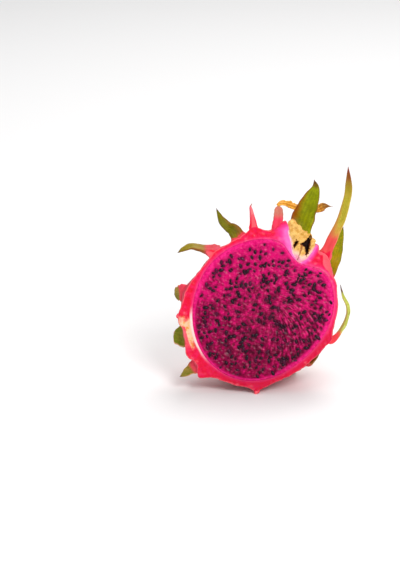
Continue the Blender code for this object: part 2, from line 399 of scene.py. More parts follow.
class Graph(Nodes):
    """A material's nodes, ending in one Principled shader."""

    def __init__(self, name: str) -> None:
        """Starts an empty material.

        Args:
            name: The material's name.
        """
        self.material = bpy.data.materials.new(name)
        self.material.use_nodes = True
        super().__init__(self.material.node_tree)
        self.shader = self.tree.nodes["Principled BSDF"]
        self.place = self.node("ShaderNodeTexCoord").outputs["Object"]

    def maths(self, operation: str, *values: Any) -> Value:
        """One Math node on up to three values."""
        made = self.node("ShaderNodeMath", {"operation": operation}, dict(enumerate(values)))
        return Value(self, made.outputs[0])

    def field(self, name: str) -> Value:
        """The surface's own values of that name."""
        return Value(self, self.node("ShaderNodeAttribute", {"attribute_name": name}).outputs["Fac"])

    def step(self, value: Value, low: float, high: float) -> Value:
        """Zero at low, one at high and an S curve between.

        Args:
            value: What is measured.
            low: Where the curve starts.
            high: Where it ends.

        Returns:
            The share.
        """
        made = self.node("ShaderNodeMapRange", {"interpolation_type": "SMOOTHSTEP"},
                         {"Value": value, "From Min": low, "From Max": high})
        return Value(self, made.outputs["Result"])

    def noise(self, size: float, detail: float = 3.0, roughness: float = 0.55) -> Value:
        """Soft noise with features of a size in millimetres, from 0 to 1.

        Args:
            size: Size of the features.
            detail: How many finer layers are added.
            roughness: How much each finer layer counts.

        Returns:
            The noise.
        """
        made = self.node("ShaderNodeTexNoise", None, {"Vector": self.place, "Scale": 1 / (size * MM),
                                                      "Detail": detail, "Roughness": roughness})
        return Value(self, made.outputs["Fac"])

    def cells(self, size: float) -> Value:
        """Distances from the middles of cells of a size in millimetres."""
        made = self.node("ShaderNodeTexVoronoi", None, {"Vector": self.place, "Scale": 1 / (size * MM)})
        return Value(self, made.outputs["Distance"])

    def mix(self, share: Any, low: Any, high: Any) -> bpy.types.NodeSocket:
        """A colour between two colours.

        Args:
            share: How much of the second colour there is.
            low: The first colour.
            high: The second colour.

        Returns:
            The output with the colour.
        """
        made = self.node("ShaderNodeMix", {"data_type": "RGBA"}, {0: share, 6: low, 7: high})
        return made.outputs[2]

    def bump(self, height: Value, depth: float, strength: float = 1.0) -> bpy.types.NodeSocket:
        """Small relief from a height of 0 to 1, this many millimetres deep.

        Args:
            height: The height.
            depth: How deep a height of 1 is.
            strength: How much of the relief shows.

        Returns:
            The output with the normal.
        """
        made = self.node("ShaderNodeBump", None,
                         {"Height": height, "Strength": strength, "Distance": depth * MM})
        return made.outputs["Normal"]

    def finish(self, **sockets: Any) -> bpy.types.Material:
        """Feeds the shader's sockets.

        Args:
            sockets: A value for each socket, with underscores for the spaces in its name.

        Returns:
            The material.
        """
        for name, value in sockets.items():
            self.feed(self.shader.inputs[name.replace("_", " ")], value)
        return self.material


# ---------------------------------------------------------------- finishes


@dataclass(frozen=True)
class LeafFinish:
    """Colours of a scale from its fleshy root to its dry tip."""

    root: tuple = tint(228, 58, 84)
    body: tuple = tint(126, 134, 14)
    light: tuple = tint(166, 170, 44)
    tip: tuple = tint(84, 26, 18)
    margin: tuple = tint(120, 50, 28)
    blush: tuple = tint(150, 62, 20)
    pink_to: float = 0.3  # share of the length where the pink has gone
    tip_from: float = 0.86
    blush_share: float = 0.35
    blush_side: float = 0.0  # which edge the blush lies on: -1 or 1, and 0 for neither
    margin_share: float = 0.7

    def dress(self, name: str) -> bpy.types.Material:
        """Waxy leaf: pink root, green blade with faint veins, a reddish blush, dark edges and tip.

        Args:
            name: The material's name.

        Returns:
            The material.
        """
        g = Graph(name)
        along, across, face = g.field("along"), g.field("across"), g.field("cut")
        edge = g.maths("ABSOLUTE", across)
        broad = g.noise(7, 3)
        fine = g.noise(1.1, 4)
        wander = along + (broad - 0.5) * 0.3
        veins = g.maths("SINE", across * 17 + broad * 9) * 0.5 + 0.5
        green = g.mix(g.step(veins * 0.08 + fine * 0.4 + broad * 0.7, 0.42, 0.8), self.body, self.light)
        side = across * self.blush_side + (1 - abs(self.blush_side)) * 0.3 + (broad - 0.5) * 1.6
        blush = g.step(side - along * 1.3, -0.5, 0.5) * self.blush_share
        green = g.mix(blush, green, self.blush)
        skin = g.mix(g.step(wander, self.pink_to * 0.35, self.pink_to), self.root, green)
        rim = g.step(edge + (fine - 0.5) * 0.12, 0.82, 0.97) * g.step(along, 0.05, 0.3)
        skin = g.mix(rim * self.margin_share, skin, self.margin)
        skin = g.mix(g.step(wander + (fine - 0.5) * 0.1, self.tip_from, 0.99), skin, self.tip)
        cut = g.mix(g.step(fine, 0.4, 0.7) * 0.35, CUT_RED, CUT_PINK)
        cut = g.mix(g.step(edge + (fine - 0.5) * 0.1, 0.72, 0.95) * 0.7, cut, CUT_EDGE)
        relief = veins * 0.2 + fine * 0.6
        return g.finish(
            Base_Color=g.mix(face, skin, cut),
            Roughness=0.38 + fine * 0.2,
            Normal=g.bump(relief, 0.1),
            Specular_IOR_Level=0.12,
            Subsurface_Weight=0.12,
            Subsurface_Radius=(1.0, 0.45, 0.2),
            Subsurface_Scale=1.2 * MM,
        )


class Leaf(Enum):
    """The kinds of scale on this fruit."""

    BRIGHT = LeafFinish(body=tint(118, 126, 0), light=tint(156, 166, 0), tip=tint(92, 26, 20),
                        margin=tint(132, 62, 16), blush=tint(150, 74, 0), pink_to=0.1, tip_from=0.84,
                        blush_share=0.9, blush_side=-1.0)
    TALL = LeafFinish(root=tint(228, 72, 76), body=tint(164, 150, 34), light=tint(200, 182, 66),
                      tip=tint(132, 44, 28), margin=tint(220, 186, 90), blush=tint(190, 96, 60),
                      pink_to=0.4, tip_from=0.6, blush_share=0.6, blush_side=-1.0, margin_share=0.6)
    DEEP = LeafFinish(body=tint(92, 92, 0), light=tint(126, 120, 0), margin=tint(92, 52, 10),
                      pink_to=0.12, tip_from=0.9, blush_share=0.4, blush_side=1.0)
    GOLDEN = LeafFinish(body=tint(112, 122, 0), light=tint(172, 160, 0), margin=tint(142, 96, 12),
                        blush=tint(176, 112, 0), pink_to=0.12, tip_from=0.9, blush_share=0.55)
    OLIVE = LeafFinish(root=tint(206, 66, 76), body=tint(128, 108, 18), light=tint(156, 138, 40),
                       tip=tint(76, 32, 20), margin=tint(132, 56, 40), pink_to=0.28, tip_from=0.82,
                       blush_share=0.5)
    PALE = LeafFinish(root=tint(232, 60, 72), body=tint(172, 176, 66), light=tint(208, 212, 112),
                      tip=tint(78, 18, 20), margin=tint(196, 170, 96), blush=tint(140, 84, 36), pink_to=0.26,
                      tip_from=0.78, blush_share=0.7, blush_side=-1.0, margin_share=0.4)
    DUSKY = LeafFinish(root=tint(226, 66, 86), body=tint(116, 110, 28), light=tint(170, 146, 70),
                       margin=tint(214, 146, 104), pink_to=0.35, tip_from=0.85, blush_share=0.4)
    EDGED = LeafFinish(body=tint(108, 124, 12), light=tint(146, 152, 44), tip=tint(214, 170, 120),
                       margin=tint(232, 176, 134), blush=tint(120, 70, 40), pink_to=0.12, margin_share=0.95)
    PINK = LeafFinish(root=tint(240, 44, 88), body=tint(236, 78, 100), light=tint(244, 108, 120),
                      tip=tint(166, 92, 72), margin=tint(246, 140, 140), blush=tint(226, 52, 76),
                      pink_to=0.5, tip_from=0.8, margin_share=0.6)
    FADED = LeafFinish(root=tint(236, 56, 88), body=tint(204, 112, 96), light=tint(208, 138, 112),
                       tip=tint(176, 128, 86), margin=tint(184, 126, 98), blush=tint(150, 96, 76),
                       pink_to=0.66, tip_from=0.9, blush_share=0.8, blush_side=1.0)


CUT_RED = tint(230, 10, 54)
CUT_PINK = tint(238, 26, 88)
CUT_MAGENTA = tint(244, 60, 150)
CUT_PALE = tint(250, 108, 190)
CUT_WHITE = tint(254, 222, 218)
CUT_EDGE = tint(246, 108, 118)
# painted shade for the lower part of the cut rim
CUT_PAINTED_SHADE = tint(176, 2, 40)
STEM_CREAM = tint(252, 196, 158)
STEM_YELLOW = tint(232, 158, 72)


@dataclass(frozen=True)
class RindFinish:
    """Waxy red-pink skin, and the juicy red rim where the knife went through it."""

    skin: tuple = tint(206, 34, 62)
    bright: tuple = tint(236, 78, 104)
    deep: tuple = tint(160, 12, 36)
    crease: tuple = tint(196, 60, 62)
    bloom: tuple = tint(244, 132, 148)

    def dress(self) -> bpy.types.Material:
        """Skin outside, cut tissue on the rim, pale round the flower scar and the stem, with painted shade on
        the lower and lower right part of the rim.

        Returns:
            The material.
        """
        g = Graph("rind_skin")
        cut, from_skin, from_flesh = g.field("cut"), g.field("from_skin"), g.field("from_flesh")
        stem, pale, crease, pad = g.field("stem"), g.field("pale"), g.field("crease"), g.field("pad")
        broad, middle, fine = g.noise(16, 3), g.noise(3.2, 4), g.noise(0.7, 3)
        skin = g.mix(g.step(broad + (middle - 0.5) * 0.4, 0.34, 0.68), self.deep, self.skin)
        skin = g.mix(g.step(pad + (middle - 0.5) * 0.3, 0.25, 1.0) * 0.65, skin, self.bright)
        skin = g.mix(g.step(crease, 0.3, 1.0) * 0.55, skin, self.crease)
        skin = g.mix(g.step(fine * 0.5 + middle * 0.5, 0.55, 0.72) * 0.3, skin, self.bloom)
        flesh = g.mix(g.step(middle + (fine - 0.5) * 0.4, 0.38, 0.7), CUT_RED, CUT_PINK)
        near = from_flesh + (middle - 0.5) * 1.2
        flesh = g.mix(g.step(near, 2.2, 0.8), flesh, CUT_PINK)
        flesh = g.mix(g.step(near, 1.2, 0.2) * 0.5, flesh, CUT_MAGENTA)
        flesh = g.mix(g.step(from_flesh, 0.4, 0.1) * 0.25, flesh, CUT_EDGE)
        flesh = g.mix(g.step(pale + (middle - 0.5) * 0.2, 0.1, 0.42), flesh, CUT_MAGENTA)
        flesh = g.mix(g.step(pale + (middle - 0.5) * 0.2, 0.36, 0.66), flesh, CUT_PALE)
        flesh = g.mix(g.step(pale + (fine - 0.5) * 0.1, 0.78, 0.97), flesh, CUT_WHITE)
        wood = g.mix(g.step(g.noise(2.4, 4), 0.48, 0.62), STEM_CREAM, STEM_YELLOW)
        wood = g.mix(g.step(g.field("streak") + (middle - 0.5) * 0.9, 0.3, 0.7) * 0.85, wood, CUT_PINK)
        patch = stem + (g.noise(4.5, 3) - 0.5) * 1.5 + (middle - 0.5) * 0.5
        flesh = g.mix(g.step(patch, 0.15, 0.8) * g.step(stem, 0.02, 0.3), flesh, wood)
        flesh = g.mix(g.field("stripe") * g.step(near, 1.8, 0.7), flesh, CUT_WHITE)
        flesh = g.mix(g.step(from_skin + (fine - 0.5) * 0.3, 0.85, 0.3) * 0.7, flesh, CUT_EDGE)
        # painted shade: the cut rim is darker towards the bottom and the lower right
        flesh = g.mix(g.field("low") * 0.5, flesh, CUT_PAINTED_SHADE)
        relief = fine * 0.5 + middle * 0.6 + g.cells(0.9) * 0.3
        return g.finish(
            Base_Color=g.mix(cut, skin, flesh),
            Roughness=0.42 + (fine - 0.5) * 0.3 - cut * 0.1,
            Normal=g.bump(relief, 0.1, 0.7),
            Specular_IOR_Level=0.2,
            Subsurface_Weight=0.15,
            Subsurface_Radius=(1.0, 0.25, 0.3),
            Subsurface_Scale=1.5 * MM,
        )


@dataclass(frozen=True)
class FleshFinish:
    """Wet magenta flesh: dark and bright flecks, pale fibres, and a bright ring without seeds."""

    dark: tuple = tint(70, 0, 34)
    middle: tuple = tint(146, 4, 66)
    bright: tuple = tint(214, 12, 106)
    fibre: tuple = tint(214, 74, 132)
    ring: tuple = tint(216, 10, 104)
    bright_ring: tuple = tint(246, 44, 140)
    shade: tuple = tint(46, 0, 28)
    # painted shade for the bottom of the flesh
    low: tuple = tint(140, 2, 48)

    def dress(self) -> bpy.types.Material:
        """Mottled over one or two millimetres, streaked along the fibres, with painted light towards the top
        and painted shade towards the bottom.

        Returns:
            The material.
        """
        g = Graph("wet_flesh")
        inset, shade, fibre = g.field("inset"), g.field("shade"), g.field("fibre")
        light = g.field("light")
        grain = g.noise(2.5, 5, 0.64)
        fleck = g.noise(0.6, 3)
        broad = g.noise(12, 2)
        # light lifts the tone as painted light towards the top, the upper right and the left
        tone = grain * 1.05 + fleck * 0.1 + (fibre - 0.5) * 0.17 + (broad - 0.5) * 0.5 + light * 0.19 - 0.015
        colour = g.mix(g.step(tone, 0.36, 0.6), self.dark, self.middle)
        colour = g.mix(g.step(tone, 0.55, 0.78), colour, self.bright)
        colour = g.mix(g.step(fibre + (fleck - 0.5) * 0.9, 0.8, 1.5) * 0.22, colour, self.fibre)
        colour = g.mix(shade * 0.85, colour, self.shade)
        ring = g.step(inset + (grain - 0.5) * 3.4 + (broad - 0.5) * 2.0, 3.0, 1.2)
        clear = g.mix(g.step(grain + (fleck - 0.5) * 0.4, 0.36, 0.64), self.ring, self.bright_ring)
        colour = g.mix(ring * 0.92, colour, clear)
        # painted shade: the flesh is darker towards the bottom
        colour = g.mix(g.field("low") * 0.2, colour, self.low)
        wet = grain * 0.7 + fleck * 0.4 + fibre * 0.2
        return g.finish(
            Base_Color=colour,
            Roughness=0.22 + (fleck - 0.5) * 0.22,
            Normal=g.bump(wet, 0.09, 0.8),
            Specular_IOR_Level=0.13,
            Subsurface_Weight=0.2,
            Subsurface_Radius=(1.0, 0.12, 0.4),
            Subsurface_Scale=1.2 * MM,
        )


@dataclass(frozen=True)
class SeedFinish:
    """Hard glossy black seed coats under a film of juice."""

    coat: tuple = tint(38, 2, 26)
    film: tuple = tint(96, 0, 56)

    def dress(self) -> bpy.types.Material:
        """Black, with a purple film that thickens where a seed sinks into the flesh.

        Returns:
            The material.
        """
        g = Graph("seed_coat")
        sunk = g.field("sunk")
        speck = g.noise(0.5, 2)
        return g.finish(
            Base_Color=g.mix(g.step(sunk + (speck - 0.5) * 0.4, 0.35, 1.0) * 0.7, self.coat, self.film),
            Roughness=0.12 + speck * 0.14,
            Normal=g.bump(speck, 0.04),
            Specular_IOR_Level=0.22,
        )


@dataclass(frozen=True)
class ScarFinish:
    """Dry corky tissue, cream and yellow, brown in the cracks and round the hollows, with painted shade,
    nearly black, deep in the hollows.
    """

    cream: tuple = tint(240, 194, 110)
    yellow: tuple = tint(214, 156, 62)
    brown: tuple = tint(160, 84, 34)
    # painted shade for the deep hollows; the brown at their edges is the dry tissue's colour
    black: tuple = tint(40, 10, 6)
    white: tuple = tint(250, 206, 180)
    pink: tuple = tint(248, 150, 180)

    def dress(self) -> bpy.types.Material:
        """Cream on the raised parts, brown with depth and painted shade, nearly black, deep in the hollows,
        white and pink towards the flesh.

        Returns:
            The material.
        """
        g = Graph("scar_cork")
        pit, low, crack = g.field("pit"), g.field("low"), g.field("crack")
        grain, fine = g.noise(3.5, 3), g.noise(0.7, 4)
        colour = g.mix(g.step(grain + (fine - 0.5) * 0.3, 0.42, 0.66), self.cream, self.yellow)
        colour = g.mix(g.step(g.noise(5, 2), 0.56, 0.74) * 0.5, colour, self.brown)
        colour = g.mix(g.step(low + (grain - 0.5) * 0.3, 0.3, 0.75), colour, self.white)
        colour = g.mix(g.step(low + (grain - 0.5) * 0.3, 0.7, 1.05) * 0.9, colour, self.pink)
        colour = g.mix(g.step(crack + (fine - 0.5) * 0.5, 0.3, 0.95) * 0.85, colour, self.brown)
        colour = g.mix(g.step(pit + (fine - 0.5) * 0.2, 0.04, 0.3), colour, self.brown)
        # painted shade: nearly black deep in the hollows
        colour = g.mix(g.step(pit + (grain - 0.5) * 0.5, 0.25, 0.8), colour, self.black)
        return g.finish(
            Base_Color=colour,
            Roughness=0.55 + fine * 0.25,
            Normal=g.bump(grain * 0.4 + fine * 0.5, 0.14),
            Specular_IOR_Level=0.3,
            Subsurface_Weight=0.1,
            Subsurface_Radius=(1.0, 0.6, 0.3),
            Subsurface_Scale=1.0 * MM,
        )


@dataclass(frozen=True)
class PetalFinish:
    """Papery, withered, orange-brown with dark ends."""

    body: tuple = tint(210, 126, 6)
    pale: tuple = tint(236, 178, 54)
    dark: tuple = tint(92, 32, 6)

    def dress(self) -> bpy.types.Material:
        """Streaked lengthways, darker at the far tip and in flecks.

        Returns:
            The material.
        """
        g = Graph("withered_petal")
        along, across = g.field("along"), g.field("across")
        fine = g.noise(1.0, 4)
        streak = g.maths("SINE", across * 9 + fine * 6) * 0.5 + 0.5
        colour = g.mix(g.step(streak * 0.6 + fine * 0.5, 0.3, 0.9), self.body, self.pale)
        colour = g.mix(g.step(along + (fine - 0.5) * 0.3, 0.72, 1.0) * 0.85, colour, self.dark)
        colour = g.mix(g.step(fine, 0.56, 0.72) * 0.5, colour, self.dark)
        return g.finish(
            Base_Color=colour,
            Roughness=0.55 + fine * 0.2,
            Normal=g.bump(streak * 0.5 + fine * 0.5, 0.15),
        )


# ---------------------------------------------------------------- scales


@dataclass
class Scale:
    """A leafy scale: a lens-shaped section carried along a smooth line, wide at the root.

    Lengths are in millimetres and angles in degrees. The line's points follow the root, which lies
    at an angle round the rim (turn) and an angle behind the cut face (back).
    """

    name: str
    turn: float
    back: float
    line: tuple
    width: float
    thickness: float = 3.0
    fullness: float = 2.5
    faces: tuple | None = None
    leaf: Leaf = Leaf.DEEP
    slot: str = "scale_green"
    swell: float = 2.6  # how far the rind is pulled out at the root, and over how many degrees
    spread: float = 3.6
    on_floor: bool = False
    root_sunk: float = 4.0
    flare: float = 0.5
    flare_reach: float = 2.6
    narrowest: float = 0.35
    thinnest: float = 0.5
    curl: float = 0.09  # of the width, at the edges
    groove: float = 0.22  # of the thickness
    knife_gap: float = 0.04
    stations: int = 72
    around: int = 36

    def out(self) -> np.ndarray:
        """The direction of the root from the middle of the fruit."""
        return direction(np.radians(self.turn), np.radians(self.back))

    def middle_line(self, rind: "Rind") -> np.ndarray:
        """Evenly spaced points along the scale, from inside the rind to the tip.

        Args:
            rind: The rind that the scale grows from.

        Returns:
            The points, one a row.
        """
        surface = float(rind.radius(np.radians(self.turn), np.radians(self.back)))
        root = self.out() * (surface - self.root_sunk)
        return smooth_line(np.vstack([root, *self.line]), self.stations)

    def surface(self, rind: "Rind") -> tuple[np.ndarray, dict[str, np.ndarray]]:
        """Works out the scale's skin.

        At a share t of the free length the half width is width/2 * (1 + flare) * (1 - t^fullness) and
        the thickness falls in a straight line to a fifth. flare dies off as exp(-distance / reach).
        The edges curl up with the square of the place across, a shallow groove runs down the middle
        of the upper side, and fine ribs run lengthways. What stands in front of the cut face is
        pressed back onto it, as the knife left it, and what is below the floor is lifted onto it.

        Args:
            rind: The rind that the scale grows from.

        Returns:
            The rings of points and the fields along, across and cut.
        """
        line = self.middle_line(rind)
        run = np.linspace(0, 1, self.stations)
        length = np.linalg.norm(np.diff(line, axis=0), axis=1).sum()
        beyond = run * length - self.root_sunk
        t = np.clip(beyond / (length - self.root_sunk), 0, 1)
        spread = self.flare * np.exp(-np.maximum(beyond, 0) / self.flare_reach)
        width = np.maximum(self.width * (1 + spread) * (1 - t**self.fullness), self.narrowest)
        thick = np.maximum(self.thickness * (1 + 1.6 * spread) * (1 - 0.8 * t), self.thinnest)
        thick = np.minimum(thick, width * 1.2)

        ahead = unit(np.gradient(line, axis=0))
        if self.faces is not None:
            across = np.cross(ahead, np.array(self.faces, float))
        else:
            across = np.broadcast_to(np.cross(self.out(), FLOWER_END), ahead.shape)
        across = unit(across - ahead * (across * ahead).sum(-1, keepdims=True))
        up = np.cross(across, ahead)

        side, high = circle(turns_round(self.around)).T
        seed = sum(map(ord, self.name))
        sway = 1 + 0.05 * ripple(np.stack([t * 4, np.zeros_like(t), np.zeros_like(t)], -1), 1, seed)[:, None]
        groove = self.groove * bell(side, 0.22) * (high > 0)
        ribs = 0.012 * np.cos(side * 22)
        aside = side * width[:, None] / 2 * sway
        above = (np.sign(high) * np.abs(high) ** 0.9 * (1 - groove) * thick[:, None] / 2
                 + self.curl * width[:, None] * side**2 + ribs * np.abs(high))
        rings = carried(line, across, up, aside, above)
        rings += 0.12 * ripple(rings, 6, seed + 1)[..., None] * up[:, None]

        turns = np.arctan2(rings[..., 1], rings[..., 0])
        beyond_rind = np.hypot(rings[..., 0], rings[..., 1]) - rind.radius(turns, 0.0)
        knife = -self.knife_gap - 0.9 * smooth_step(beyond_rind, 0.3, -1.2)
        cut = smooth_step(rings[..., 2], knife - 0.15, knife)
        rings[..., 2] = np.minimum(rings[..., 2], knife)
        if self.on_floor:
            sunk = np.maximum(rings @ FRUIT.down - FRUIT.height, 0)
            rings -= sunk[..., None] * FRUIT.down
        return rings, {"along": np.broadcast_to(t[:, None], cut.shape),
                       "across": np.broadcast_to(side, cut.shape), "cut": cut}

    def build(self, rind: "Rind", materials: dict[Leaf, bpy.types.Material]) -> bpy.types.Object:
        """Makes the scale and dresses it.

        Args:
            rind: The rind that the scale grows from.
            materials: The material of each kind of scale.

        Returns:
            The object.
        """
        rings, fields = self.surface(rind)
        made = closed_skin(f"{self.name}_blade", rings, fields)
        made.data.materials.append(materials[self.leaf])
        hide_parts(self.name)
        return made


FLOWER_END = direction(math.radians(50), 0.0)
BACK_RADIUS = 45.5
FOOT_BACK = 38


def leaning_line(turn: float, back: float, length: float) -> tuple:
    """Points that leave the rind, run towards the flower end and curl outwards.

    Args:
        turn: The root's angle round the rim, in degrees.
        back: The root's angle behind the cut face, in degrees.
        length: How long the scale is, in millimetres.

    Returns:
        The points after the root.
    """
    out = direction(np.radians(turn), np.radians(back))
    along = unit(FLOWER_END - out * (FLOWER_END @ out))
    steps = ((0.4, 0.3), (0.75, 0.65), (0.9, 1.0))
    return tuple(out * BACK_RADIUS + (along * a + out * b) * length for a, b in steps)


def foot_line(turn: float, back: float, right: float, behind: float) -> tuple:
    """Points from the rind down to the floor and just past it.

    Args:
        turn: The root's angle round the rim, in degrees.
        back: The root's angle behind the cut face, in degrees.
        right: Where the tip is to the right of the middle, in millimetres.
        behind: Where it is behind the middle.

    Returns:
        The points after the root.
    """
    down = FRUIT.down
    level_back = np.array([0.0, -down[2], down[1]])
    root = direction(np.radians(turn), np.radians(back)) * BACK_RADIUS
    tip = np.array([right, 0, 0]) + level_back * behind + down * (FRUIT.height + 1)
    return ((root + tip) / 2 - down, tip)


def edge_scales() -> list[Scale]:
    """The scales at the cut edge, from the upper left clockwise.

    Returns:
        The scales.
    """
    pink = "scale_pink"
    return [
        Scale("upper_left_scale", 129, 6, ((-42.2, 38.4, -6), (-48.4, 37.5, -6), (-53.1, 35, -5)), 9, 4,
              faces=(0.5, 0.75, 0.45), leaf=Leaf.OLIVE, swell=3.2),
        Scale("left_crown_scale", 108, 12,
              ((-17.8, 48.8, -8), (-21.6, 51.2, -9), (-25.6, 55.6, -9), (-28.8, 62.8, -8)), 8, 3, 2.2,
              faces=(0.3, 0.1, 1), leaf=Leaf.DEEP, swell=1.4),
        Scale("crown_spike", 96.5, 0,
              ((-6, 54.3, -1), (-6.9, 60.2, -2), (-7.6, 63.8, -2), (-6.5, 65.8, -2)), 7, 4.6, 1,
              leaf=Leaf.PINK, slot=pink, swell=3.6, spread=3.8, flare=0.15),
        Scale("crown_stub", 79.5, 3, ((10, 58.1, -3), (10, 64.6, -3)), 5.8, 3.6, 12, faces=(0, 0, 1),
              leaf=Leaf.FADED, slot=pink, swell=3.5, spread=2.5, flare=0.2),
        Scale("crown_leaf", 60, 16,
              ((23.6, 49.2, -13), (26.3, 58, -12.5), (29.9, 66.8, -11), (33.3, 75.4, -9), (32.6, 80.8, -8)),
              14.2, 3, 3, faces=(0, 0, 1), leaf=Leaf.BRIGHT, flare=0.1),
        Scale("tall_crown_leaf", 39, 3,
              ((44.7, 45.6, -3), (49.1, 55, -4), (52.2, 65, -5), (54.1, 74.4, -6), (53.9, 89, -8)), 6, 4, 5,
              faces=(-0.3, 0, 1), leaf=Leaf.TALL, swell=3.4, spread=4.4),
        Scale("right_crown_leaf", 24, 20,
              ((42.6, 24, -12), (45.7, 32, -11.5), (47.8, 40, -11), (51, 51.2, -10)), 9, 2.6, 3,
              faces=(0.2, 0, 1), leaf=Leaf.GOLDEN, swell=0.8, flare=0.0),
        Scale("right_side_scale", -25.5, 2,
              ((43.4, -19.3, -3), (47.2, -16.1, -3), (50.2, -11.6, -3), (52.4, -7, -3), (53.5, -2, -3),
               (52.8, 3, -4), (50.3, 8.6, -4), (48.8, 15, -4)),
              3.8, 2.4, 5, faces=(0.75, 0, 0.66), leaf=Leaf.PALE, swell=2.2, flare=0.45),
        Scale("lower_right_scale", -52, 12, ((30.6, -34.4, -8), (36.6, -27.4, -5)), 4, 2.2,
              leaf=Leaf.OLIVE, swell=1.4),
        Scale("bottom_spike", 266.5, 0, ((-3.4, -50.8, -1.2), (-5.1, -54.8, -1.6)), 4.8, 4.4, 1.6,
              leaf=Leaf.PINK, slot=pink, swell=3, spread=3.6, on_floor=True, flare=0.0),
        Scale("lower_left_scale", 222, 6, ((-44.5, -38.1, -5), (-48.4, -40.7, -4), (-51.8, -42.7, -4)), 7,
              3, faces=(-0.2, 0.3, 0.9), leaf=Leaf.DUSKY, swell=2.4),
        Scale("stem_leaf", 200, 14, ((-51, -16.8, -13), (-55.6, -15.4, -14)), 12, 3, 6,
              faces=(-0.3, 0, 1), leaf=Leaf.EDGED, swell=0.6),
        Scale("stem_bump", 185, 1, ((-51.6, -4.6, -1.6), (-53.8, -5, -2)), 6, 3, 5,
              leaf=Leaf.PINK, slot=pink, swell=2.4, spread=6, flare=0.2),
        Scale("left_side_scale", 169, 10, ((-50.6, 9.6, -9), (-55.2, 8.6, -12)), 8, 3, 5,
              faces=(-0.4, 0, 0.9), leaf=Leaf.DUSKY, slot=pink, swell=3.4, spread=6),
    ]


def hidden_scales() -> list[Scale]:
    """The two scales that the half stands on, and those round the back.

    Returns:
        The scales.
    """
    feet = [Scale(f"foot_scale_{side}", turn, FOOT_BACK, foot_line(turn, FOOT_BACK, right, 30), 12, 4.5, 4,
                  leaf=Leaf.DUSKY, on_floor=True)
            for side, turn, right in (("left", 247, -21), ("right", 293, 21))]
    places = ((48, 44, 14), (2, 44, 13), (100, 46, 12), (55, 76, 22),
              (196, 46, 16), (150, 40, 15), (235, 72, 17), (328, 48, 18))
    kinds = (Leaf.BRIGHT, Leaf.DEEP, Leaf.DUSKY, Leaf.BRIGHT, Leaf.OLIVE, Leaf.DEEP, Leaf.DUSKY, Leaf.BRIGHT)
    backs = [Scale(f"back_scale_{number}", turn, back, leaning_line(turn, back, length), 12, 3.4, 3,
                   leaf=kind)
             for number, ((turn, back, length), kind) in enumerate(zip(places, kinds), 1)]
    return feet + backs


# ---------------------------------------------------------------- flower scar


